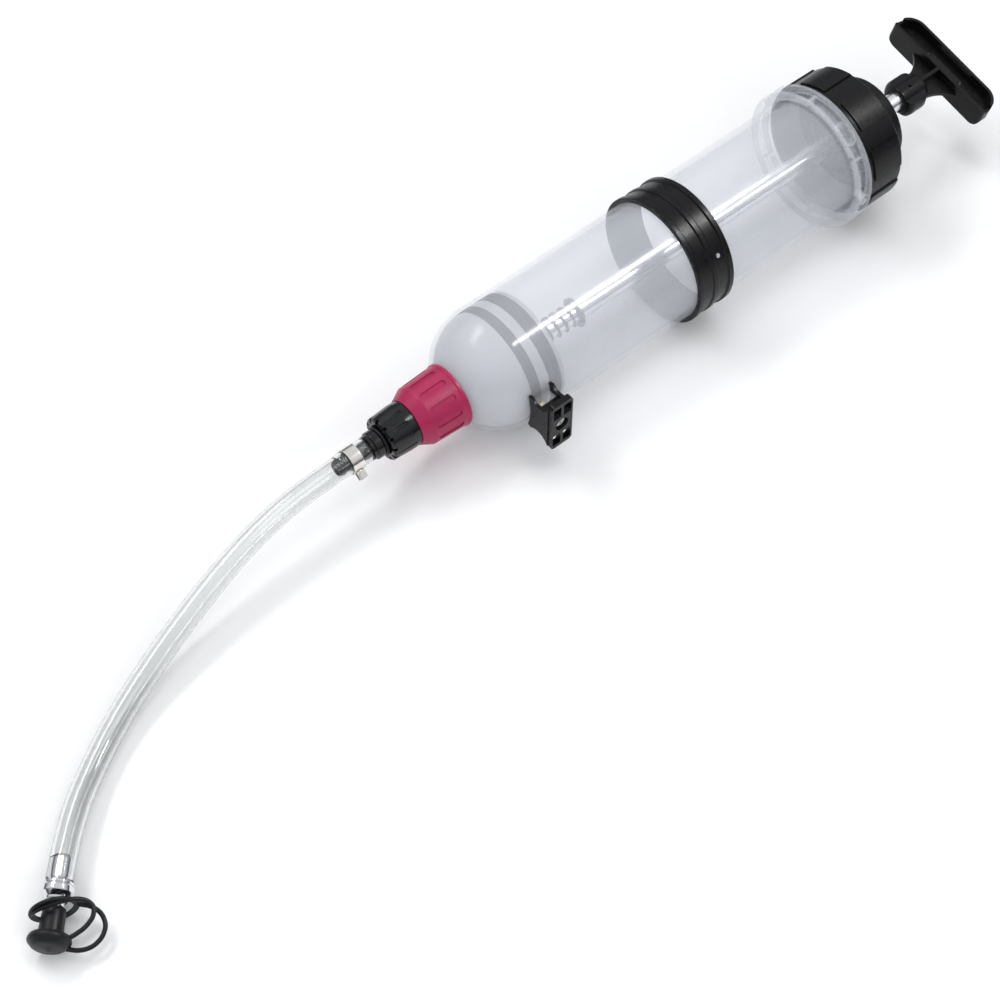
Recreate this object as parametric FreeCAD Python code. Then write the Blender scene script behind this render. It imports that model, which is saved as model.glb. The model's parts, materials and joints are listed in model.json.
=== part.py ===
"""Hand-drawn fluid transfer pump: a clear syringe barrel with a rod and piston, a T handle,
a screw cap, a nozzle with a union nut, a short clear hose and a tethered dust cap.

The pump is drawn about its own axis: x runs along the barrel from the nozzle (-) to the handle (+),
with x = 0 in the middle of the grip band, and -y is the side that carries the hanging bracket.
At the end every piece is set down as the pump lies on a bench: on the rim of the barrel's flange and
on its dome, so the axis leans nose-down by a little. All sizes are in millimetres.
"""

import FreeCAD, Part
import os
from math import acos, atan2, cos, degrees, pi, radians, sin, sqrt, tan
from FreeCAD import Vector

os.makedirs("parts", exist_ok=True)

# ---------------------------------------------------------------- driving dimensions
# barrel
DOME_X = -155.0             # centre of the hemispherical front end
DOME_R = 44.0               # outside of the dome and of the barrel's front
REAR_R = 46.0               # outside of the barrel at the flange: the moulding's draft
BORE_R = 41.5
FLANGE_FRONT = 130.0
FLANGE_GAP = 7.6            # between the two flange discs
FLANGE_THICK = 3.2
FLANGE_R = 53.5
NECK_R = 18.5               # front neck, under the collar nut
NECK_END = -212.0
NECK_BORE = 9.05
REAR_NECK_R = 46.5          # threaded mouth, under the screw cap
REAR_NECK_END = 167.0
BOSS_R = 4.8                # hollow boss between the flanges
BOSS_BORE = 3.0
LUG_FACE = 50.5             # lug under the bracket, measured from the axis
BRACKET_X = -152.5

# rod, piston and handle
ROD_R = 7.0
ROD_BORE = 5.2
ROD_FRONT = -126.0
ROD_REAR = 240.0
HUB_FRONT = 224.0
HUB_REAR = 245.0
BAR_NEAR = 264.0
BAR_FAR = 283.5
BAR_LENGTH = 96.0
BAR_HEIGHT = 18.6
HANDLE_TURN = 12.0          # degrees the handle is turned about the axis at rest
PISTON_R = 41.0
SEAL_R = 41.45
RUNNING = 0.05              # radial clearance of a running fit
GAP = 0.3                   # clearance between pieces that move apart

# screw cap
CAP_FRONT = 146.0
CAP_REAR = 178.0
CAP_R = 51.5
CAP_CHANNEL_R = 50.2
CAP_TOP_R = 35.5
CAP_TOP_REAR = 195.0
CAP_PADS = 8

# nozzle
NUT_REAR = -193.1
NUT_FRONT = -228.7
COUPLER_REAR = -229.0
COUPLER_FRONT = -250.6
BARB_FLANGE = -253.0
HOSE_MOUTH = -261.0
BARB_TIP = -287.0
STEM_R = 9.0

# hose
HOSE_R = 8.0
HOSE_BORE = 6.0
HOSE_GRIPPED_R = 8.5        # where the barb stretches it
HOSE_ROUTE = [(-347.2, 1.4, 35.2), (-390.2, -8.1, 27.5), (-432.4, -20.6, 18.6), (-473.6, -36.0, 11.0),
              (-512.1, -57.3, 8.4), (-546.8, -84.4, 13.4), (-571.3, -112.1, 13.4)]
HOSE_FIRST_RUN = 44.0

# fitting and dust cap on the hose's end, measured from the end of the hose
SHOULDER_R = 9.8
STUB_R = 5.0
STUB_END = 28.0
DUST_CAP_START = 15.0
DUST_CAP_R = 13.0
STRAP_R = 1.4
NEAR_STRAP = [(20.2, -12.4, 2.6), (20.0, -9.0, 8.0), (18.2, -2.5, 11.0), (14.8, 5.0, 10.5),
              (11.2, 12.0, 7.0), (10.6, 18.0, 4.0), (13.6, 22.4, 2.4), (19.5, 22.6, 1.6),
              (26.0, 18.8, 1.0), (31.0, 12.5, 0.4), (33.0, 8.5, 0.0)]
FAR_STRAP = [(11.8, 12.6, 1.0), (12.2, 20.5, -0.5), (15.6, 26.4, -2.0), (22.0, 29.6, -3.5),
             (29.0, 28.2, -4.5), (34.6, 23.4, -5.2), (37.0, 16.5, -5.4), (36.4, 9.2, -5.0)]

AXIS = Vector(1, 0, 0)
ORIGIN = Vector(0, 0, 0)

# How the pump lies: the floor is tangent to the dome and touches the rim of the front flange.
reach = FLANGE_FRONT - DOME_X
LEAN = acos(DOME_R / sqrt(FLANGE_R ** 2 + reach ** 2)) - atan2(reach, FLANGE_R)
BAND_HEIGHT = DOME_R - DOME_X * sin(LEAN)
# The origin is under the middle of the pump, hose and dust cap left out.
ORIGIN_SHIFT = Vector(1.54, 5.65, BAND_HEIGHT)

pieces = {}


# ---------------------------------------------------------------- helpers
def edge_loop(corners, point):
    """Closed wire through corners (a, b) or (a, b, rounding); point() maps (a, b) to space."""
    count = len(corners)
    starts, ends, middles = [], [], []
    for index, corner in enumerate(corners):
        here = Vector(corner[0], corner[1], 0)
        if len(corner) < 3:
            starts.append(here)
            ends.append(here)
            middles.append(None)
            continue
        before = corners[index - 1]
        after = corners[(index + 1) % count]
        back = (Vector(before[0], before[1], 0) - here).normalize()
        forth = (Vector(after[0], after[1], 0) - here).normalize()
        half = acos(max(-1.0, min(1.0, back.dot(forth)))) / 2
        trim = corner[2] / tan(half)
        bisector = (back + forth).normalize()
        starts.append(here + back * trim)
        ends.append(here + forth * trim)
        middles.append(here + bisector * (corner[2] / sin(half) - corner[2]))
    edges = []
    for index in range(count):
        if middles[index] is not None:
            arc = Part.Arc(*[point(p.x, p.y) for p in (starts[index], middles[index], ends[index])])
            edges.append(arc.toShape())
        following = starts[(index + 1) % count]
        if (following - ends[index]).Length > 1e-6:
            line = Part.LineSegment(point(ends[index].x, ends[index].y), point(following.x, following.y))
            edges.append(line.toShape())
    return Part.Wire(edges)


def turned(corners):
    """Solid of revolution about the pump's axis from a closed (x, radius) outline."""
    wire = edge_loop(corners, lambda x, r: Vector(x, 0, r))
    return Part.Face(wire).revolve(ORIGIN, AXIS, 360)


def ring(x_low, x_high, r_in, r_out, rounding=0.0):
    """Plain ring about the axis, its outer edges rounded when asked."""
    if rounding:
        return turned([(x_low, r_in), (x_low, r_out, rounding), (x_high, r_out, rounding), (x_high, r_in)])
    return turned([(x_low, r_in), (x_low, r_out), (x_high, r_out), (x_high, r_in)])


def rod_solid(x_low, x_high, radius):
    return Part.makeCylinder(radius, x_high - x_low, Vector(x_low, 0, 0), AXIS)


def torus(x_middle, r_middle, r_section):
    return Part.makeTorus(r_middle, r_section, Vector(x_middle, 0, 0), AXIS)


def slab(corners, low, high, plane):
    """Prism of a closed outline: plane "xz" extrudes along y, "yz" along x, "xy" along z."""
    place = {"xy": lambda a, b: Vector(a, b, low),
             "xz": lambda a, b: Vector(a, low, b),
             "yz": lambda a, b: Vector(low, a, b)}[plane]
    depth = {"xy": Vector(0, 0, high - low),
             "xz": Vector(0, high - low, 0),
             "yz": Vector(high - low, 0, 0)}[plane]
    return Part.Face(edge_loop(corners, place)).extrude(depth)


def about_axis(shape, angle):
    """Copy of a shape turned about the pump's axis by an angle in degrees."""
    copy = shape.copy()
    copy.rotate(ORIGIN, AXIS, angle)
    return copy


def radial_cylinder(x, radius, near, far, angle=0.0):
    """Cylinder standing out from the axis toward -y, turned about the axis by angle (toward +z)."""
    peg = Part.makeCylinder(radius, far - near, Vector(x, -near, 0), Vector(0, -1, 0))
    return about_axis(peg, -angle)


def sector(x_low, x_high, radius, half_angle):
    """Wedge about +y, from the axis outward, to cut a ring into pads."""
    y_low = radius * cos(radians(half_angle))
    z_low = radius * sin(radians(half_angle))
    return slab([(0, 0), (y_low, -z_low), (radius * 1.3, 0), (y_low, z_low)], x_low, x_high, "yz")


def fuse(first, *others):
    solid = first.fuse(list(others))
    return solid.removeSplitter()


def barrel_r(x):
    """Outside radius of the tapered barrel."""
    return DOME_R + (REAR_R - DOME_R) * (x - DOME_X) / (FLANGE_FRONT - DOME_X)


# ---------------------------------------------------------------- barrel
def dome_profile(x_low, radius, inner_r):
    """Ball cap in front of DOME_X, from its radius down to inner_r, as a solid of revolution."""
    x_tip = DOME_X - sqrt(radius ** 2 - inner_r ** 2)
    middle = pi * 0.25
    arc = Part.Arc(Vector(DOME_X, 0, radius),
                   Vector(DOME_X - radius * sin(middle), 0, radius * cos(middle)),
                   Vector(x_tip, 0, inner_r)).toShape()
    ends = [Vector(x_tip, 0, inner_r), Vector(x_tip, 0, 0), Vector(x_low, 0, 0),
            Vector(x_low, 0, radius), Vector(DOME_X, 0, radius)]
    lines = [Part.LineSegment(a, b).toShape() for a, b in zip(ends, ends[1:]) if (a - b).Length > 1e-6]
    return Part.Face(Part.Wire([arc] + lines)).revolve(ORIGIN, AXIS, 360)


def barrel_tube():
    flange_2 = FLANGE_FRONT + FLANGE_THICK + FLANGE_GAP
    outside = turned([(DOME_X, 0), (DOME_X, DOME_R), (FLANGE_FRONT, REAR_R),
                      (REAR_NECK_END, REAR_NECK_R), (REAR_NECK_END, 0)])
    front = dome_profile(DOME_X + 1.0, DOME_R, NECK_R)
    neck = turned([(NECK_END, 0), (NECK_END, NECK_R, 0.8), (DOME_X - 30, NECK_R), (DOME_X - 30, 0)])
    discs = [ring(x, x + FLANGE_THICK, BORE_R + 1.5, FLANGE_R, 1.0) for x in (FLANGE_FRONT, flange_2)]
    web = slab([(44.0, -1.5), (52.3, -1.5), (52.3, 1.5), (44.0, 1.5)],
               FLANGE_FRONT + 1.0, flange_2 + 1.0, "yz")
    webs = [about_axis(web, 82 + 60 * step) for step in range(6) if step != 2]
    boss_x = FLANGE_FRONT + FLANGE_THICK + FLANGE_GAP / 2
    boss = radial_cylinder(boss_x, BOSS_R, 44.0, FLANGE_R - 0.6)
    lug = slab([(-LUG_FACE, -8.5, 1.0), (-LUG_FACE, 8.5, 1.0), (-42.8, 8.5), (-42.8, -8.5)],
               BRACKET_X - 7.2, BRACKET_X + 7.2, "yz")
    body = fuse(outside, front, neck, lug, boss, *discs, *webs)
    hollow = dome_profile(DOME_X + 1.0, BORE_R, NECK_BORE)
    bore = rod_solid(DOME_X, REAR_NECK_END + 1, BORE_R)
    outlet = rod_solid(NECK_END - 1, DOME_X - 20, NECK_BORE)
    boss_hole = radial_cylinder(boss_x, BOSS_BORE, 45.2, FLANGE_R + 1)
    insert_hole = radial_cylinder(BRACKET_X, 3.2, 44.4, LUG_FACE + 1)
    return body.cut([hollow, bore, outlet, boss_hole, insert_hole])


def grip_band():
    low, high = -15.0, 15.6
    ridges = [(low, 48.4), (low + 3.6, 48.4), (low + 4.4, 47.2), (-2.4, 47.2), (-1.6, 48.2),
              (2.0, 48.2), (2.8, 47.2), (high - 4.4, 47.2), (high - 3.6, 48.4), (high, 48.4)]
    rounded = [(x, r, 0.35) for x, r in ridges]
    band = turned([(low, barrel_r(low))] + rounded + [(high, barrel_r(high))])
    return band.cut(band_rivet())


def bracket_shapes():
    """Hanging bracket: a pocketed pad on two cheeks that straddle the barrel's lug."""
    pad_face, pad_back, pad_half = 64.8, 60.4, 22.0
    pad = slab([(BRACKET_X - 8.8, -pad_half, 3.0), (BRACKET_X - 8.8, pad_half, 3.0),
                (BRACKET_X + 8.8, pad_half, 3.0), (BRACKET_X + 8.8, -pad_half, 3.0)],
               -pad_face, -pad_back, "xz")
    tip_y, tip_z = 42.2, 14.6
    cheek_top = [Vector(0, -45.0, tip_z + 0.6), Vector(0, -51.2, 12.2), Vector(0, -pad_back - 1, 19.0)]
    cheek_low = [Vector(0, p.y, -p.z - 1.0) for p in reversed(cheek_top)]
    saddle = [Vector(0, -tip_y, -tip_z), Vector(0, -44.5, 0), Vector(0, -tip_y, tip_z)]
    edges = [Part.Arc(*saddle).toShape(),
             Part.LineSegment(saddle[2], cheek_top[0]).toShape(),
             Part.Arc(*cheek_top).toShape(),
             Part.LineSegment(cheek_top[2], cheek_low[0]).toShape(),
             Part.Arc(*cheek_low).toShape(),
             Part.LineSegment(cheek_low[2], saddle[0]).toShape()]
    cheek = Part.Face(Part.Wire(edges)).extrude(Vector(2.2, 0, 0))
    cheeks = []
    for x in (BRACKET_X - 9.6, BRACKET_X + 7.4):
        side = cheek.copy()
        side.translate(Vector(x, 0, 0))
        cheeks.append(side)
    web_top = [Vector(0, -LUG_FACE, 8.6), Vector(0, -54.5, 9.6), Vector(0, -pad_back - 1, 16.5)]
    web_low = [Vector(0, p.y, -p.z) for p in reversed(web_top)]
    web_edges = [Part.Arc(*web_top).toShape(),
                 Part.LineSegment(web_top[2], web_low[0]).toShape(),
                 Part.Arc(*web_low).toShape(),
                 Part.LineSegment(web_low[2], web_top[0]).toShape()]
    web = Part.Face(Part.Wire(web_edges)).extrude(Vector(15.2, 0, 0))
    web.translate(Vector(BRACKET_X - 7.6, 0, 0))
    body = fuse(pad, web, *cheeks)
    pockets = []
    for x in (BRACKET_X - 4.3, BRACKET_X + 4.3):
        for z in (13.6, -13.6):
            pockets.append(slab([(x - 3.2, z - 5.2, 0.6), (x - 3.2, z + 5.2, 0.6),
                                 (x + 3.2, z + 5.2, 0.6), (x + 3.2, z - 5.2, 0.6)],
                                -pad_face - 1, -pad_face + 6.0, "xz"))
    recess = radial_cylinder(BRACKET_X, 5.2, 60.4, pad_face + 1)
    hole = radial_cylinder(BRACKET_X, 2.4, 49.0, pad_face + 1)
    return body.cut(pockets + [recess, hole])


def bracket_screw():
    head = radial_cylinder(BRACKET_X, 4.2, 60.4, 62.8)
    head = head.makeFillet(0.9, [edge for edge in head.Edges if abs(edge.CenterOfMass.y + 62.8) < 0.01])
    shank = radial_cylinder(BRACKET_X, 2.0, 45.2, 60.5)
    slot_a = Part.makeBox(0.8, 1.5, 4.4, Vector(BRACKET_X - 0.4, -63.0, -2.2))
    slot_b = Part.makeBox(4.4, 1.5, 0.8, Vector(BRACKET_X - 2.2, -63.0, -0.4))
    return fuse(head, shank).cut([slot_a, slot_b])


def band_rivet():
    x, angle = 5.6, 33.0
    head = radial_cylinder(x, 1.6, 46.3, 47.9, angle)
    return head


# ---------------------------------------------------------------- screw cap and its seals
def screw_cap():
    body = turned([(CAP_FRONT, REAR_NECK_R + GAP), (CAP_FRONT, CAP_CHANNEL_R, 0.8),
                   (CAP_REAR - 1.5, CAP_CHANNEL_R, 2.0), (CAP_REAR, CAP_TOP_R + 3.0, 1.0),
                   (CAP_REAR + 1.0, CAP_TOP_R), (CAP_TOP_REAR, CAP_TOP_R - 1.2, 2.5),
                   (CAP_TOP_REAR, 11.0, 0.6), (CAP_TOP_REAR - 1.0, 11.0), (CAP_TOP_REAR - 1.0, 10.0),
                   (172.0, 10.0), (172.0, REAR_NECK_R + GAP)])
    pad_ring = turned([(CAP_FRONT + 3.0, CAP_CHANNEL_R - 1.5), (CAP_FRONT + 3.0, CAP_R, 0.7),
                       (CAP_REAR - 3.0, CAP_R, 0.9), (CAP_REAR, CAP_R - 5.0, 0.5),
                       (CAP_REAR, CAP_CHANNEL_R - 6.0), (CAP_REAR - 4.0, CAP_CHANNEL_R - 1.5)])
    wedge = sector(CAP_FRONT, CAP_REAR + 2, CAP_R + 6, 13.5)
    pads = [about_axis(pad_ring.common(wedge), 360.0 / CAP_PADS * (step + 0.5)) for step in range(CAP_PADS)]
    cap = fuse(body, *pads)
    relief = turned([(CAP_TOP_REAR - 12.0, 16.0), (CAP_TOP_REAR - 12.0, 31.0),
                     (CAP_REAR - 9.0, 31.0), (CAP_REAR - 9.0, 16.0)])
    return cap.cut(relief)


# ---------------------------------------------------------------- rod, handle, piston
def handle():
    half = BAR_LENGTH / 2
    low, high = -BAR_HEIGHT / 2, BAR_HEIGHT / 2
    bar = slab([(BAR_NEAR, -half, 3.0), (BAR_NEAR, half, 3.0),
                (BAR_FAR, half, 14.0), (BAR_FAR, -half, 14.0)], low, high, "xy")
    ends = slab([(-half, low, 8.0), (half, low, 8.0), (half, high, 1.5), (-half, high, 1.5)],
                BAR_NEAR - 1, BAR_FAR + 1, "yz")
    bar = bar.common(ends)
    wall = 2.2
    trough = [(BAR_NEAR + wall, wall - half, 1.5), (BAR_NEAR + wall, half - wall, 1.5),
              (BAR_FAR - wall, half - wall, 11.8), (BAR_FAR - wall, wall - half, 11.8)]
    upper = slab(trough, 0.6, high + 1, "xy")
    lower = slab([(BAR_NEAR + wall, 8 - half, 1.5), (BAR_NEAR + wall, half - 8, 1.5),
                  (BAR_FAR - wall, half - 8, 8.0), (BAR_FAR - wall, 8 - half, 8.0)],
                 low - 1, -2.2, "xy")
    slot = slab([(BAR_NEAR + wall, -17, 1.0), (BAR_NEAR + wall, 17, 1.0),
                 (BAR_NEAR + 13.0, 17, 3.0), (BAR_NEAR + 13.0, -17, 3.0)],
                low - 1, high + 1, "xy")
    notches = [Part.makeBox(7.0, 8.0, 5.0, Vector(BAR_NEAR + 3.0, y, high - 3.2))
               for y in (-half - 2, half - 6)]
    bar = bar.cut([upper, lower, slot] + notches)
    neck_plate = [Vector(HUB_REAR - 3, -10.5, -1.5), Vector(HUB_REAR + 8.5, -13.2, -1.5),
                  Vector(BAR_NEAR + 0.6, -24, -1.5)]
    mirrored = [Vector(p.x, -p.y, p.z) for p in reversed(neck_plate)]
    plate_edges = [Part.Arc(*neck_plate).toShape(),
                   Part.LineSegment(neck_plate[2], mirrored[0]).toShape(),
                   Part.Arc(*mirrored).toShape(),
                   Part.LineSegment(mirrored[2], neck_plate[0]).toShape()]
    plate = Part.Face(Part.Wire(plate_edges)).extrude(Vector(0, 0, 3))
    rib = slab([(HUB_REAR - 3, -8.0), (HUB_REAR - 3, 8.0), (BAR_NEAR + 0.6, high), (BAR_NEAR + 0.6, low)],
               -1.3, 1.3, "xz")
    core = turned([(HUB_FRONT - 0.5, 0), (HUB_FRONT - 0.5, 10.4, 1.5), (HUB_REAR + 3.0, 10.0, 3.0),
                   (HUB_REAR + 3.0, 0)])
    ears = turned([(HUB_FRONT, 0), (HUB_FRONT, 14.2, 4.5), (HUB_REAR - 1, 14.2, 5.5), (HUB_REAR - 1, 0)])
    ears = ears.common(Part.makeBox(40, 40, 15.0, Vector(HUB_FRONT - 10, -20, -7.5)))
    body = fuse(bar, plate, rib, core, ears)
    socket = rod_solid(HUB_FRONT - 2, ROD_REAR, ROD_R)
    pin_hole = Part.makeCylinder(1.25, 24, Vector(HUB_FRONT + 10, 0, -12), Vector(0, 0, 1))
    return about_axis(body.cut([socket, pin_hole]), HANDLE_TURN)


def handle_pin():
    pin = Part.makeCylinder(1.25, 15.0, Vector(HUB_FRONT + 10, 0, -7.5), Vector(0, 0, 1))
    return about_axis(pin, HANDLE_TURN)


def rod_tube():
    tube = ring(ROD_FRONT, ROD_REAR, ROD_BORE, ROD_R)
    pin_hole = Part.makeCylinder(1.25, 24, Vector(HUB_FRONT + 10, 0, -12), Vector(0, 0, 1))
    return tube.cut(about_axis(pin_hole, HANDLE_TURN))


def bumper_spring():
    wire_r, coil_r = 0.75, 7.95
    start, end, pitch = -116.5, -87.0, 6.8
    helix = Part.makeHelix(pitch, end - start, coil_r)
    section = Part.Wire(Part.makeCircle(wire_r, Vector(coil_r, 0, 0), Vector(0, 1, 0)))
    coil = Part.Wire(helix).makePipeShell([section], True, True)
    coil.rotate(ORIGIN, Vector(0, 1, 0), 90)
    coil.translate(Vector(start, 0, 0))
    return coil


def piston_pieces():
    """Stack on the rod's end, from the rear plate forward to the domed nose."""
    bolt_r = 4.0
    pieces["piston_rear_plate"] = turned([
        (-132.0, bolt_r), (-132.0, PISTON_R - 0.4, 0.6), (-128.6, PISTON_R - 0.4, 0.6), (-128.6, 12.0),
        (-118.0, 11.0, 0.8), (-118.0, ROD_R), (ROD_FRONT, ROD_R), (ROD_FRONT, bolt_r)])
    pieces["piston_seal_rear"] = turned([
        (-142.0, 30.0), (-142.0, SEAL_R - 0.6), (-141.0, SEAL_R), (-137.5, SEAL_R), (-136.6, 40.2, 0.4),
        (-134.0, SEAL_R), (-133.0, SEAL_R), (-132.0, SEAL_R - 0.6), (-132.0, 30.0)])
    pieces["piston_spacer"] = turned([
        (-149.5, bolt_r), (-149.5, PISTON_R), (-142.0, PISTON_R), (-142.0, 30.0), (-132.0, 30.0),
        (-132.0, bolt_r)])
    pieces["piston_seal_front"] = turned([
        (-157.0, 30.0), (-157.0, 40.3), (-156.0, 41.1), (-154.0, SEAL_R), (-150.5, SEAL_R),
        (-149.5, SEAL_R - 0.6), (-149.5, 30.0)])
    outer = 40.6
    nose_solid = dome_profile(DOME_X + 1.0, outer, 12.0)
    cavity = dome_profile(DOME_X + 1.0, outer - 3.0, 12.0)
    boss = rod_solid(-192.0, -149.5, 12.0)
    plate = rod_solid(-160.0, -157.0, 39.0)
    hub = rod_solid(-157.0, -149.5, 30.0)
    front_only = Part.makeBox(60, 100, 100, Vector(-157.0 - 60, -50, -50))
    shell = nose_solid.cut(cavity).common(front_only)
    nose = fuse(shell, boss, plate, hub)
    bolt_path = rod_solid(-200, -140, bolt_r)
    head_seat = rod_solid(-200, -184.0, 8.6)
    pieces["piston_nose"] = nose.cut([bolt_path, head_seat])
    head = slab([(7.5 * cos(radians(60 * k)), 7.5 * sin(radians(60 * k))) for k in range(6)],
                -190.8, -185.6, "yz")
    pieces["piston_bolt"] = fuse(head, rod_solid(-186.0, -110.0, bolt_r))
    pieces["piston_washer"] = ring(-185.6, -184.0, bolt_r, 8.4)
    pieces["rod_plug"] = ring(ROD_FRONT, -106.0, bolt_r, ROD_BORE)


# ---------------------------------------------------------------- nozzle
def collar_nut():
    body = turned([(NUT_REAR, 23.0), (NUT_REAR - 1.8, 23.1, 0.5), (NUT_REAR - 2.6, 22.4),
                   (-220.7, 21.3, 1.5), (NUT_FRONT, 17.0, 0.5), (NUT_FRONT, 13.0),
                   (-217.0, 13.0), (-217.0, NECK_R + GAP), (NUT_REAR - 2.2, NECK_R + GAP)])
    grip = Part.makeBox(15.0, 6.0, 4.6, Vector(-216.5, 20.9, -2.3))
    round_ends = [Part.makeCylinder(2.3, 6.0, Vector(x, 20.9, 0), Vector(0, 1, 0)) for x in (-216.5, -201.5)]
    recess = fuse(grip, *round_ends)
    recess.rotate(Vector(-209, 20.9, 0), Vector(0, 0, 1), 2.4)
    return body.cut([about_axis(recess, 30 * step + 8) for step in range(12)])


def hose_barb():
    ridge = []
    for x in (-264.0, -270.0, -276.0):
        ridge += [(x, 6.0), (x - 5.4, 5.3)]
    return turned([(-204.0, 5.0), (-204.0, 8.8), (-206.8, 8.8), (-206.8, 7.0), (-209.2, 7.0), (-209.2, 8.8),
                   (NECK_END - GAP, 8.8), (NECK_END - GAP, 16.0), (-215.4, 16.0), (-215.4, 12.7),
                   (COUPLER_REAR + 0.6, 12.7), (COUPLER_REAR + 0.6, STEM_R),
                   (BARB_FLANGE, STEM_R), (BARB_FLANGE, 9.8, 0.8), (BARB_FLANGE - 5.5, 9.8, 0.8),
                   (BARB_FLANGE - 6.0, 8.6), (HOSE_MOUTH, 8.6), (HOSE_MOUTH, 5.4)]
                  + ridge + [(BARB_TIP + 3, 6.0), (BARB_TIP, 5.2, 0.4), (BARB_TIP, 4.0), (-210.0, 4.0)])


def coupler_sleeve():
    bore = STEM_R + RUNNING
    body = turned([(COUPLER_REAR, bore), (COUPLER_REAR, 16.3, 0.5), (COUPLER_REAR - 6, 16.5),
                   (COUPLER_FRONT + 1.0, 15.6, 0.5), (COUPLER_FRONT, 14.4, 0.4), (COUPLER_FRONT, bore)])
    flute = Part.makeCylinder(1.1, 18.0, Vector(COUPLER_FRONT - 1, 16.6, 0), AXIS)
    flutes = [about_axis(flute, 30 * step) for step in range(12)]
    notch = Part.makeBox(3.0, 5.0, 2.2, Vector(COUPLER_FRONT - 0.5, 12.6, -1.1))
    notches = [about_axis(notch, 30 * step + 15) for step in range(12)]
    return body.cut(flutes + notches)


def clamp_pieces():
    """Small screw clamp: a band with two upright ears, pulled together by a screw and a square nut."""
    low, high, block_angle = -278.0, -269.5, 35.0
    band = ring(low, high, HOSE_GRIPPED_R, 9.3)
    middle = (low + high) / 2
    ear = slab([(-14.6, 0.0), (-14.6, 0.8), (-8.8, 0.8), (-8.8, 0.0)], middle - 2.8, middle + 2.8, "yz")
    ears = []
    for z in (1.4, -2.2):
        side = ear.copy()
        side.translate(Vector(0, 0, z))
        ears.append(side)
    split = Part.makeBox(high - low + 2, 6.0, 2.8, Vector(low - 1, -14.0, -1.4))
    hole = Part.makeCylinder(1.1, 12, Vector(middle, -12.2, -6), Vector(0, 0, 1))
    clamp = fuse(band, *ears).cut([split, hole])
    clamp = clamp.cut(rod_solid(low - 1, high + 1, HOSE_GRIPPED_R))
    screw = fuse(Part.makeCylinder(2.3, 1.8, Vector(middle, -12.2, 2.2), Vector(0, 0, 1)),
                 Part.makeCylinder(1.1, 7.6, Vector(middle, -12.2, -5.2), Vector(0, 0, 1)))
    screw = screw.cut(Part.makeBox(3.6, 0.7, 1.0, Vector(middle - 1.8, -12.55, 3.4)))
    nut = Part.makeBox(4.6, 4.6, 2.4, Vector(middle - 2.3, -14.5, -4.6))
    nut = nut.cut(Part.makeCylinder(1.1, 12, Vector(middle, -12.2, -9), Vector(0, 0, 1)))
    pieces["clamp_band"] = about_axis(clamp, block_angle)
    pieces["clamp_screw"] = about_axis(screw, block_angle)
    pieces["clamp_nut"] = about_axis(nut, block_angle)


# ---------------------------------------------------------------- building the pump
pieces["barrel_tube"] = barrel_tube()
pieces["grip_band"] = grip_band()
pieces["band_rivet"] = band_rivet()
pieces["hang_bracket"] = bracket_shapes()
pieces["bracket_screw"] = bracket_screw()
pieces["bracket_insert"] = radial_cylinder(BRACKET_X, 3.2, 45.0, LUG_FACE).cut(
    radial_cylinder(BRACKET_X, 2.0, 44.0, LUG_FACE + 1))
pieces["screw_cap"] = screw_cap()
pieces["cap_gasket"] = ring(REAR_NECK_END + GAP, 172.0 - 0.1, 40.0, REAR_NECK_R)
pieces["rod_bush"] = turned([(172.0, ROD_R + RUNNING), (172.0, 10.0),
                             (189.0, 10.0), (189.0, ROD_R + RUNNING)])
pieces["rod_wiper"] = turned([(189.0, 7.6), (189.0, 10.0), (194.0, 10.0), (194.4, ROD_R + RUNNING)])
pieces["rod"] = rod_tube()
pieces["handle"] = handle()
pieces["handle_pin"] = handle_pin()
pieces["bumper_spring"] = bumper_spring()
pieces["spring_washer"] = ring(-86.0, -84.8, ROD_R + 0.15, 11.0)
piston_pieces()
pieces["collar_nut"] = collar_nut()
pieces["hose_barb"] = hose_barb()
pieces["collar_washer"] = ring(-216.7, -215.4, 12.7, 16.0)
pieces["neck_o_ring"] = torus(-208.0, 8.0, 1.0)
pieces["coupler_sleeve"] = coupler_sleeve()
pieces["coupler_o_ring"] = torus(-251.95, 9.95, 0.95)
clamp_pieces()


# ---------------------------------------------------------------- setting it down
def set_down(shape):
    """Lean a piece nose-down about the y axis and lift it, as the pump lies on its side."""
    shape.rotate(ORIGIN, Vector(0, 1, 0), -degrees(LEAN))
    shape.translate(ORIGIN_SHIFT)
    return shape


def on_pump(x, y=0.0, z=0.0):
    """Where a point of the pump's own axes ends up on the bench."""
    return Vector(x * cos(LEAN) - z * sin(LEAN), y, x * sin(LEAN) + z * cos(LEAN)) + ORIGIN_SHIFT


for name in pieces:
    pieces[name] = set_down(pieces[name])


# ---------------------------------------------------------------- hose
def rounded_path(points):
    """Straight runs joined by tangent arcs, each as large as its two runs allow."""
    edges, radii = [], []
    previous = points[0]
    for before, corner, after in zip(points, points[1:], points[2:]):
        back, forth = before - corner, after - corner
        shorter = min(back.Length, forth.Length)
        back.normalize()
        forth.normalize()
        half = acos(max(-1.0, min(1.0, back.dot(forth)))) / 2
        trim = 0.45 * shorter
        radius = trim * tan(half)
        start, end = corner + back * trim, corner + forth * trim
        middle = corner + (back + forth).normalize() * (radius / sin(half) - radius)
        edges.append(Part.LineSegment(previous, start).toShape())
        edges.append(Part.Arc(start, middle, end).toShape())
        radii.append(radius)
        previous = end
    edges.append(Part.LineSegment(previous, points[-1]).toShape())
    return Part.Wire(edges), radii


def tube_along(points, radius):
    path, radii = rounded_path(points)
    forward = (points[1] - points[0]).normalize()
    section = Part.Wire(Part.makeCircle(radius, points[0], forward))
    return path.makePipeShell([section], True, False), path.Length, radii


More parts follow.
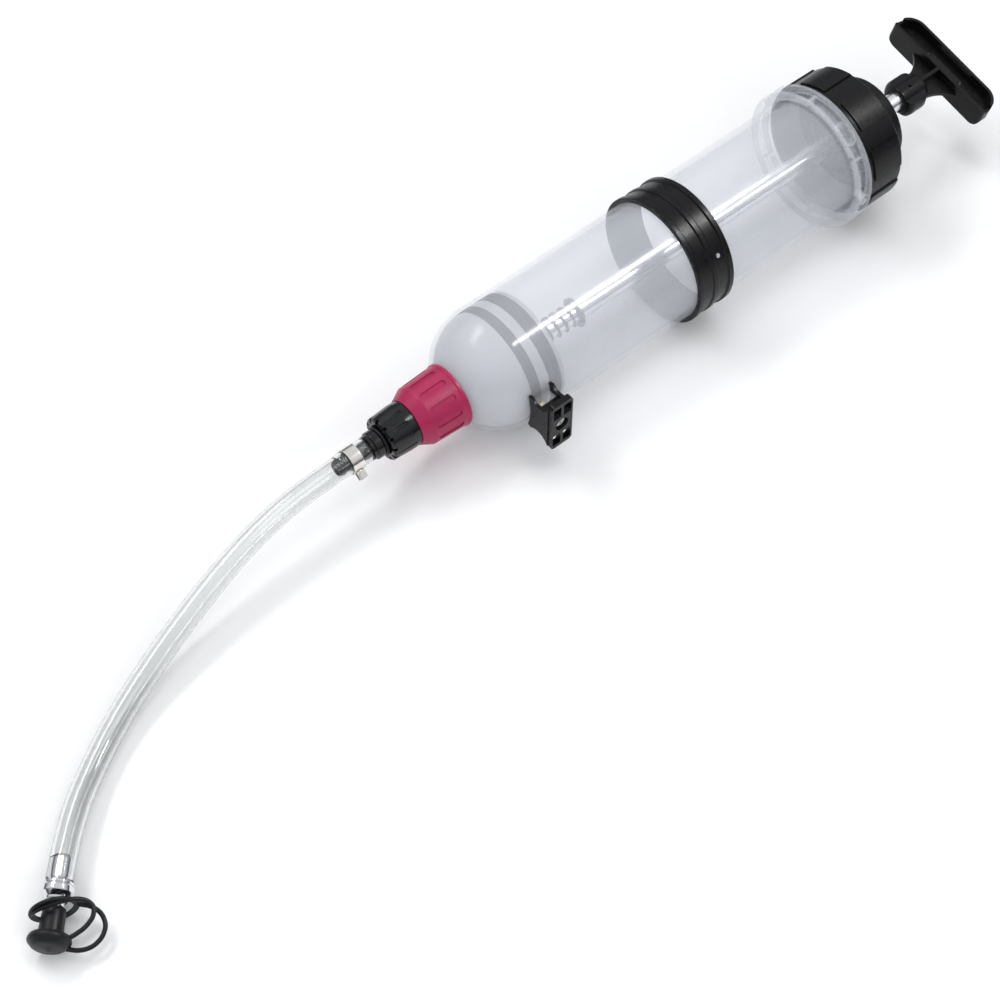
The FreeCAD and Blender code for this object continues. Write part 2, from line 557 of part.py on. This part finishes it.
route = [on_pump(HOSE_MOUTH), on_pump(HOSE_MOUTH - HOSE_FIRST_RUN)] + [Vector(*p) for p in HOSE_ROUTE]
outer_tube, hose_length, hose_radii = tube_along(route, HOSE_R)
inner_tube = tube_along(route, HOSE_BORE)[0]
# Over the barb the hose is stretched, so its first stretch is turned about the pump's axis.
gripped_end = HOSE_MOUTH - 23.0
gripped = set_down(turned([(HOSE_MOUTH, HOSE_BORE), (HOSE_MOUTH, HOSE_GRIPPED_R, 0.6),
                           (gripped_end + 3.0, HOSE_GRIPPED_R, 1.0), (gripped_end, HOSE_R),
                           (gripped_end, HOSE_BORE)]))
barb_stretch = set_down(rod_solid(gripped_end, HOSE_MOUTH + 5.0, HOSE_GRIPPED_R + 2.0))
pieces["hose"] = fuse(outer_tube.cut([inner_tube, barb_stretch]), gripped)
section_area = pi * (HOSE_R ** 2 - HOSE_BORE ** 2)


# ---------------------------------------------------------------- fitting and dust cap on the hose's end
def on_hose_end(shape):
    """Move a piece drawn along +x from the origin on to the end of the hose."""
    heading = (route[-1] - route[-2]).normalize()
    shape.rotate(ORIGIN, Vector(0, 1, 0), -degrees(atan2(heading.z, sqrt(heading.x ** 2 + heading.y ** 2))))
    shape.rotate(ORIGIN, Vector(0, 0, 1), degrees(atan2(heading.y, heading.x)))
    shape.translate(route[-1])
    return shape


def end_nipple():
    return turned([(-16.5, 3.2), (-16.5, 5.5, 0.4), (-14.6, HOSE_BORE), (0, HOSE_BORE), (0, 9.2, 0.5),
                   (1.6, 9.2, 0.5), (1.9, 8.6), (2.4, 8.6), (2.7, SHOULDER_R, 0.9), (6.2, SHOULDER_R, 1.4),
                   (9.2, 7.0), (10.6, 6.6, 0.5), (10.6, STUB_R + 0.4), (11.4, STUB_R - 0.4),
                   (12.2, STUB_R), (STUB_END - 1, STUB_R), (STUB_END, STUB_R - 0.8), (STUB_END, 3.2)])


def dust_cap():
    rim = DUST_CAP_START
    bore = STUB_R + RUNNING
    return turned([(rim, bore), (rim, 6.6, 0.6), (rim + 6, 7.0), (rim + 15.2, 7.2), (rim + 16.6, 11.8, 0.8),
                   (rim + 19.5, DUST_CAP_R, 2.4), (rim + 23.5, 9.5, 5.5), (rim + 25.2, 0),
                   (STUB_END + 0.6, 0), (STUB_END + 0.6, bore)])


def cap_tether():
    """Moulded tether: a loose ring round the neck and two straps that loop back to the dust cap."""
    hoop = ring(-0.9, 0.9, 11.0, 14.3, 0.5)
    hoop.rotate(ORIGIN, Vector(0, 0, 1), 19.0)
    hoop.translate(Vector(15.8, 0, 1.3))
    straps = [tube_along([Vector(*corner) for corner in corners], STRAP_R)[0]
              for corners in (NEAR_STRAP, FAR_STRAP)]
    return fuse(hoop, *straps)


pieces["hose_end_nipple"] = on_hose_end(end_nipple())
pieces["dust_cap"] = on_hose_end(dust_cap())
pieces["cap_tether"] = on_hose_end(cap_tether())

# ---------------------------------------------------------------- files
for name in pieces:
    solid = pieces[name]
    print(f"{name:18s} volume {solid.Volume:10.1f}  valid {solid.isValid()}  solids {len(solid.Solids)}")
    solid.exportStep(f"parts/{name}.step")

ON_HOSE = {"hose", "hose_end_nipple", "dust_cap", "cap_tether"}
pump = Part.makeCompound([solid for name, solid in pieces.items() if name not in ON_HOSE])
print("pump box", pump.optimalBoundingBox())
print("whole box", Part.makeCompound(list(pieces.values())).optimalBoundingBox())
print(f"lean {degrees(LEAN):.4f} deg, axis {cos(LEAN):.6f} 0 {sin(LEAN):.6f}")
print("band centre on the axis", on_pump(0), " bracket pad", on_pump(BRACKET_X, -64.8))
print(f"hose length {hose_length:.1f}, section x length {section_area * hose_length:.0f},"
      f" tube volume {outer_tube.Volume - inner_tube.Volume:.0f}")
print("hose radii", [round(radius, 1) for radius in hose_radii])
print("hose route", [tuple(round(c, 2) for c in point) for point in route])
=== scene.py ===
import json
import math

import bmesh
import bpy
import numpy as np
from mathutils import Matrix, Vector


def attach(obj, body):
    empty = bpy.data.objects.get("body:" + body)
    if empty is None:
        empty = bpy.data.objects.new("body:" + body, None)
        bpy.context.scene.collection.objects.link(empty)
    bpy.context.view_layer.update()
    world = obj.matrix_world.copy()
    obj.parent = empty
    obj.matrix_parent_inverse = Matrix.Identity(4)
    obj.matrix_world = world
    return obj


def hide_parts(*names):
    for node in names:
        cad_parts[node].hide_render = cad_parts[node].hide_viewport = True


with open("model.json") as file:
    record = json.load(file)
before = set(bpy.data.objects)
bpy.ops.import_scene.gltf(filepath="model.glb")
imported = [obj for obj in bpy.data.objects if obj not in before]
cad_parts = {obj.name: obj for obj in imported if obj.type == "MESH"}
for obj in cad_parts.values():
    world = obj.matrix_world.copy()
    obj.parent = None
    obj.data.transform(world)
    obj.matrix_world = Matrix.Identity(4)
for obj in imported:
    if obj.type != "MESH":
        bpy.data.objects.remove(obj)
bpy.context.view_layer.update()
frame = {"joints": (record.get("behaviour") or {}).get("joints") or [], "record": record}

MM = 0.001

# ---------------------------------------------------------------- the pump's own axes
joints = {joint["name"]: joint for joint in frame["joints"]}
AXIS = Vector(joints["plunger_slide"]["axis"]).normalized()
SIDE = Vector((0, 1, 0))
RISE = AXIS.cross(SIDE)
TWIST_X = 275.0             # where along the pump the twist joint's point lies, in mm
CENTRE = Vector(joints["plunger_twist"]["pos_m"]) - AXIS * TWIST_X * MM


def on_pump(x, y=0.0, z=0.0):
    """Point in the row frame from millimetres along, across and above the pump's axis."""
    return CENTRE + (AXIS * x + SIDE * y + RISE * z) * MM


# ---------------------------------------------------------------- camera
CAMERA_AZIMUTH = math.radians(39.8)
CAMERA_HEIGHT_ANGLE = math.radians(56.0)
CAMERA_PLACE = (-671.6, -625.2, 1043.0)
FOCAL_MM, SENSOR_MM = 72.0, 36.0


def make_camera():
    data = bpy.data.cameras.new("camera")
    data.lens, data.sensor_width = FOCAL_MM, SENSOR_MM
    data.clip_start, data.clip_end = 0.01, 20.0
    camera = bpy.data.objects.new("camera", data)
    bpy.context.collection.objects.link(camera)
    turn, lift = CAMERA_AZIMUTH, CAMERA_HEIGHT_ANGLE
    forward = (AXIS * math.sin(turn) * math.cos(lift) + SIDE * math.cos(turn) * math.cos(lift)
               - RISE * math.sin(lift))
    right = AXIS * math.cos(turn) - SIDE * math.sin(turn)
    up = right.cross(forward)
    rotation = Matrix((right, up, -forward)).transposed().to_4x4()
    camera.matrix_world = Matrix.Translation(on_pump(*CAMERA_PLACE)) @ rotation
    bpy.context.scene.camera = camera


make_camera()


# ---------------------------------------------------------------- light and floor
STRIP_PLACE = (560, -394, 1138)     # mm from the pump's centre, as is the streak
STREAK_PLACE = (-60, -20, 42)
MIDDLE = (0, 0, 0)
FLOOR_HALF = 6.0
DIM_BELOW, BRIGHT_ABOVE = 0.12, 0.55
DIM_SKY, BRIGHT_SKY = (0.10, 0.11, 0.13, 1), (0.95, 0.97, 1.0, 1)


def area_light(name, place, target, width, height, watts, mirrored=True):
    data = bpy.data.lights.new(name, "AREA")
    data.shape, data.size, data.size_y = "RECTANGLE", width, height
    data.energy = watts
    light = bpy.data.objects.new(name, data)
    bpy.context.collection.objects.link(light)
    light.visible_glossy = mirrored
    light.location = place
    light.rotation_euler = (Vector(target) - Vector(place)).to_track_quat("-Z", "Y").to_euler()
    return light


def square_to(first, toward):
    """Second and third axes of a frame whose third is as near to a direction as the first allows."""
    third = (toward - first * toward.dot(first)).normalized()
    return third.cross(first), third


def make_strip_light():
    """Long light square to the pump, seen only as the bright streak along the barrel."""
    place, streak = on_pump(*STRIP_PLACE), on_pump(*STREAK_PLACE)
    strip = area_light("strip", place, streak, width=0.42, height=0.1, watts=14)
    strip.visible_diffuse = False
    strip.rotation_euler = Matrix((AXIS, *square_to(AXIS, place - streak))).transposed().to_euler()


def make_studio():
    world = bpy.data.worlds.new("studio")
    world.use_nodes = True
    nodes, links = world.node_tree.nodes, world.node_tree.links
    place = nodes.new("ShaderNodeTexCoord")
    split = nodes.new("ShaderNodeSeparateXYZ")
    ramp = nodes.new("ShaderNodeValToRGB")
    links.new(place.outputs["Generated"], split.inputs["Vector"])
    links.new(split.outputs["Z"], ramp.inputs["Fac"])
    links.new(ramp.outputs["Color"], nodes["Background"].inputs["Color"])
    low, high = ramp.color_ramp.elements
    low.position, low.color = DIM_BELOW, DIM_SKY
    high.position, high.color = BRIGHT_ABOVE, BRIGHT_SKY
    nodes["Background"].inputs["Strength"].default_value = 0.8
    bpy.context.scene.world = world
    area_light("key", (-0.5, 1.1, 1.6), MIDDLE, width=1.1, height=0.35, watts=13)
    area_light("overhead", (0.1, 0.0, 1.9), MIDDLE, width=1.2, height=0.5, watts=7, mirrored=False)
    area_light("fill", (-0.5, -1.5, 1.1), MIDDLE, width=1.6, height=0.5, watts=9, mirrored=False)
    make_strip_light()
    bpy.context.scene.view_settings.view_transform = "Standard"
    bpy.context.scene.view_settings.look = "None"

    mesh = bpy.data.meshes.new("floor")
    half = FLOOR_HALF
    corners = [(-half, -half, 0), (half, -half, 0), (half, half, 0), (-half, half, 0)]
    mesh.from_pydata(corners, [], [(0, 1, 2, 3)])
    floor = bpy.data.objects.new("floor", mesh)
    bpy.context.collection.objects.link(floor)
    material = bpy.data.materials.new("floor")
    material.use_nodes = True
    shader = material.node_tree.nodes["Principled BSDF"]
    shader.inputs["Base Color"].default_value = (0.9, 0.9, 0.9, 1)
    shader.inputs["Roughness"].default_value = 0.75
    shader.inputs["Specular IOR Level"].default_value = 0.2
    mesh.materials.append(material)


make_studio()


# ---------------------------------------------------------------- materials
NOISE_LOW, NOISE_HIGH = 0.3, 0.7


class Surface:
    """A Principled material; its colour, roughness and relief may vary by object-space noise."""

    def __init__(self, name, colour, roughness, metallic=0.0, alpha=1.0, specular=0.5):
        self.material = bpy.data.materials.new(name)
        self.material.use_nodes = True
        self.tree = self.material.node_tree
        self.shader = self.tree.nodes["Principled BSDF"]
        self.place = self.node("ShaderNodeTexCoord").outputs["Object"]
        self.colour = (*colour, 1)
        self.set("Base Color", self.colour)
        self.set("Roughness", roughness)
        self.set("Metallic", metallic)
        self.set("Alpha", alpha)
        self.set("Specular IOR Level", specular)

    def node(self, kind):
        return self.tree.nodes.new(kind)

    def set(self, socket, value):
        self.shader.inputs[socket].default_value = value

    def link(self, output, target):
        self.tree.links.new(output, target)

    def noise(self, scale, detail, stretch=(1, 1, 1)):
        mapping = self.node("ShaderNodeMapping")
        mapping.inputs["Scale"].default_value = stretch
        self.link(self.place, mapping.inputs["Vector"])
        noise = self.node("ShaderNodeTexNoise")
        noise.inputs["Scale"].default_value = scale
        noise.inputs["Detail"].default_value = detail
        self.link(mapping.outputs["Vector"], noise.inputs["Vector"])
        return noise.outputs["Fac"]

    def spread(self, source, low, high):
        """The middle of a noise's range, stretched to run from low to high."""
        ramp = self.node("ShaderNodeMapRange")
        ramp.inputs["From Min"].default_value = NOISE_LOW
        ramp.inputs["From Max"].default_value = NOISE_HIGH
        ramp.inputs["To Min"].default_value = low
        ramp.inputs["To Max"].default_value = high
        self.link(source, ramp.inputs["Value"])
        return ramp.outputs["Result"]

    def shade(self, source, dark, light):
        """Base colour between two shades of itself, by a noise."""
        mix = self.node("ShaderNodeMix")
        mix.data_type = "RGBA"
        mix.inputs["A"].default_value = tuple(min(1.0, c * dark) for c in self.colour[:3]) + (1,)
        mix.inputs["B"].default_value = tuple(min(1.0, c * light) for c in self.colour[:3]) + (1,)
        self.link(self.spread(source, 0.0, 1.0), mix.inputs["Factor"])
        self.link(mix.outputs["Result"], self.shader.inputs["Base Color"])

    def gloss(self, source, low, high):
        self.link(self.spread(source, low, high), self.shader.inputs["Roughness"])

    def relief(self, source, depth_mm, strength):
        bump = self.node("ShaderNodeBump")
        bump.inputs["Distance"].default_value = depth_mm * MM
        bump.inputs["Strength"].default_value = strength
        self.link(source, bump.inputs["Height"])
        self.link(bump.outputs["Normal"], self.shader.inputs["Normal"])


def textured_plastic(name, colour, roughness, grain, depth, mottle=0.12, specular=0.25):
    surface = Surface(name, colour, roughness, specular=specular)
    surface.shade(surface.noise(90, 4), 1 - mottle, 1 + 2 * mottle)
    surface.gloss(surface.noise(260, 3), roughness * 0.85, roughness * 1.2)
    surface.relief(surface.noise(grain, 2), depth, 0.6)
    return surface.material


def smooth_plastic(name, colour, roughness):
    surface = Surface(name, colour, roughness, specular=0.4)
    surface.shade(surface.noise(60, 3), 0.92, 1.1)
    surface.gloss(surface.noise(120, 4), roughness * 0.8, roughness * 1.3)
    surface.relief(surface.noise(320, 2), 0.02, 0.4)
    return surface.material


def milky_barrel(name):
    surface = Surface(name, (0.76, 0.78, 0.83), 0.2, alpha=0.26)
    surface.shade(surface.noise(16, 2), 0.98, 1.02)
    surface.gloss(surface.noise(70, 4), 0.1, 0.2)
    surface.relief(surface.noise(45, 2, (0.25, 1, 1)), 0.04, 0.2)
    return surface.material


def clear_hose(name):
    surface = Surface(name, (0.86, 0.87, 0.865), 0.06)
    surface.set("Transmission Weight", 1.0)
    surface.gloss(surface.noise(200, 3), 0.03, 0.1)
    surface.relief(surface.noise(90, 2), 0.05, 0.3)
    return surface.material


def metal(name, colour, roughness, stretch=(1, 1, 1), grain=300.0, depth=0.01):
    surface = Surface(name, colour, roughness, metallic=1.0)
    surface.shade(surface.noise(40, 3), 0.94, 1.05)
    surface.gloss(surface.noise(grain, 4, stretch), roughness * 0.7, roughness * 1.35)
    surface.relief(surface.noise(grain * 2, 2, stretch), depth, 0.5)
    return surface.material


def rubber(name, colour, roughness):
    surface = Surface(name, colour, roughness, specular=0.25)
    surface.shade(surface.noise(150, 4), 0.85, 1.3)
    surface.gloss(surface.noise(90, 4), roughness * 0.8, roughness * 1.2)
    surface.relief(surface.noise(1500, 3), 0.03, 0.5)
    return surface.material


LENGTHWISE = (0.04, 1, 1)
MATERIALS = {
    "clear_polypropylene": milky_barrel("milky_barrel"),
    "black_plastic": textured_plastic("black_plastic", (0.004, 0.004, 0.0045), 0.3, 2600.0, 0.06,
                                      specular=0.2),
    "black_gloss_plastic": smooth_plastic("black_gloss_plastic", (0.005, 0.005, 0.0055), 0.16),
    "crimson_plastic": textured_plastic("crimson_plastic", (0.34, 0.018, 0.075), 0.34, 2000.0, 0.06,
                                        mottle=0.06),
    "natural_plastic": textured_plastic("natural_plastic", (0.5, 0.5, 0.52), 0.42, 900.0, 0.03,
                                        mottle=0.03),
    "white_nylon": smooth_plastic("white_nylon", (0.8, 0.8, 0.77), 0.35),
    "grey_rubber": rubber("seal_rubber", (0.016, 0.009, 0.02), 0.5),
    "black_rubber": rubber("black_rubber", (0.009, 0.009, 0.010), 0.42),
    "clear_pvc": clear_hose("clear_hose"),
    "aluminium_tube": metal("drawn_aluminium", (0.8, 0.81, 0.83), 0.24, LENGTHWISE, 900.0, 0.02),
    "steel": metal("zinc_steel", (0.86, 0.86, 0.85), 0.34),
    "spring_steel": metal("spring_steel", (0.4, 0.4, 0.42), 0.3),
    "nickel": metal("nickel_band", (0.78, 0.75, 0.71), 0.16, (1, 0.2, 0.2)),
    "chrome_fitting": metal("chrome_fitting", (0.72, 0.72, 0.74), 0.08, grain=160.0, depth=0.006),
    "brass_insert": metal("brass_insert", (0.72, 0.55, 0.26), 0.3),
}
for part in frame["record"]["subparts"]:
    node = bpy.data.objects.get(part["node"])
    node.data.materials.clear()
    node.data.materials.append(MATERIALS[part["material_slot"]])


# ---------------------------------------------------------------- hose
HOSE_MOUTH = -261.0
HOSE_FIRST_RUN = 44.0
HOSE_DIAMETER = 16.0
HOSE_BORE = 12.0
BARB_REACH = 23.0           # how far the barb goes into the hose
BARB_FADE = 4.0             # over which the hose narrows again behind the barb
BARB_STRETCH = 0.42         # mean growth of the radius over the barb
RIDGE_HEIGHT = 0.08
RIDGE_PITCH = 6.0
SIDES = 64
ROUTE = [on_pump(HOSE_MOUTH), on_pump(HOSE_MOUTH - HOSE_FIRST_RUN)] + [Vector(p) * MM for p in (
    (-347.2, 1.4, 35.2), (-390.2, -8.1, 27.5), (-432.4, -20.6, 18.6), (-473.6, -36.0, 11.0),
    (-512.1, -57.3, 8.4), (-546.8, -84.4, 13.4), (-571.3, -112.1, 13.4))]


def centreline(points, name):
    """Smooth line that a NURBS spline with these control points makes."""
    curve = bpy.data.curves.new(name, "CURVE")
    curve.dimensions = "3D"
    curve.resolution_u = 24
    spline = curve.splines.new("NURBS")
    spline.points.add(len(points) - 1)
    for point, place in zip(spline.points, points):
        point.co = (*place, 1)
    spline.order_u = 3
    spline.use_endpoint_u = True
    line = bpy.data.objects.new(name, curve)
    mesh = bpy.data.meshes.new_from_object(line)
    path = [vertex.co.copy() for vertex in mesh.vertices]
    bpy.data.objects.remove(line)
    bpy.data.meshes.remove(mesh)
    bpy.data.curves.remove(curve)
    return path


def stations(path):
    """Distance along a path at each of its points, in mm."""
    steps = [0.0] + [(b - a).length / MM for a, b in zip(path, path[1:])]
    return np.cumsum(steps)


def frames_along(path):
    """Sideways and upward directions at each point of a path."""
    up = Vector((0, 0, 1))
    frames = []
    for index in range(len(path)):
        tangent = (path[min(index + 1, len(path) - 1)] - path[max(index - 1, 0)]).normalized()
        across = tangent.cross(up).normalized()
        frames.append((across, across.cross(tangent)))
    return frames


def new_piece(name, mesh_data, body, slot, replaced):
    mesh = bpy.data.meshes.new(name)
    mesh_data.to_mesh(mesh)
    mesh_data.free()
    for polygon in mesh.polygons:
        polygon.use_smooth = True
    mesh.materials.append(MATERIALS[slot])
    piece = bpy.data.objects.new(name, mesh)
    bpy.context.collection.objects.link(piece)
    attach(piece, body)
    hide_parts(*replaced)
    return piece


def skin(mesh_data, loops):
    """Skin over a row of closed loops of points, from the last loop back to the first as well."""
    rings = [[mesh_data.verts.new(point) for point in loop] for loop in loops]
    for first, second in zip(rings, rings[1:] + rings[:1]):
        count = len(first)
        for index in range(count):
            following = (index + 1) % count
            mesh_data.faces.new((first[index], first[following], second[following], second[index]))


def hose_radius(distance):
    """Outer radius in mm, stretched over the barb's ridges at the mouth."""
    radius = HOSE_DIAMETER / 2
    if distance < BARB_REACH:
        fade = min(1.0, (BARB_REACH - distance) / BARB_FADE)
        ridges = RIDGE_HEIGHT * math.cos(distance / RIDGE_PITCH * 2 * math.pi)
        radius += fade * (BARB_STRETCH + ridges)
    return radius


def make_hose():
    path = centreline(ROUTE, "hose_line")
    along = stations(path)
    frames = frames_along(path)
    wall = (HOSE_DIAMETER - HOSE_BORE) / 2 * MM
    outer, inner = [], []
    for place, distance, (across, up) in zip(path, along, frames):
        radius = hose_radius(distance) * MM
        ring_out, ring_in = [], []
        for side in range(SIDES):
            turn = 2 * math.pi * side / SIDES
            direction = across * math.cos(turn) + up * math.sin(turn)
            ring_out.append(place + direction * radius)
            ring_in.append(place + direction * (radius - wall))
        outer.append(ring_out)
        inner.append(ring_in)
    mesh_data = bmesh.new()
    skin(mesh_data, outer + inner[::-1])
    bmesh.ops.recalc_face_normals(mesh_data, faces=mesh_data.faces)
    hose = new_piece("clear_hose", mesh_data, "nozzle", "clear_pvc", ["hose"])
    return hose, path


hose_piece, hose_path = make_hose()
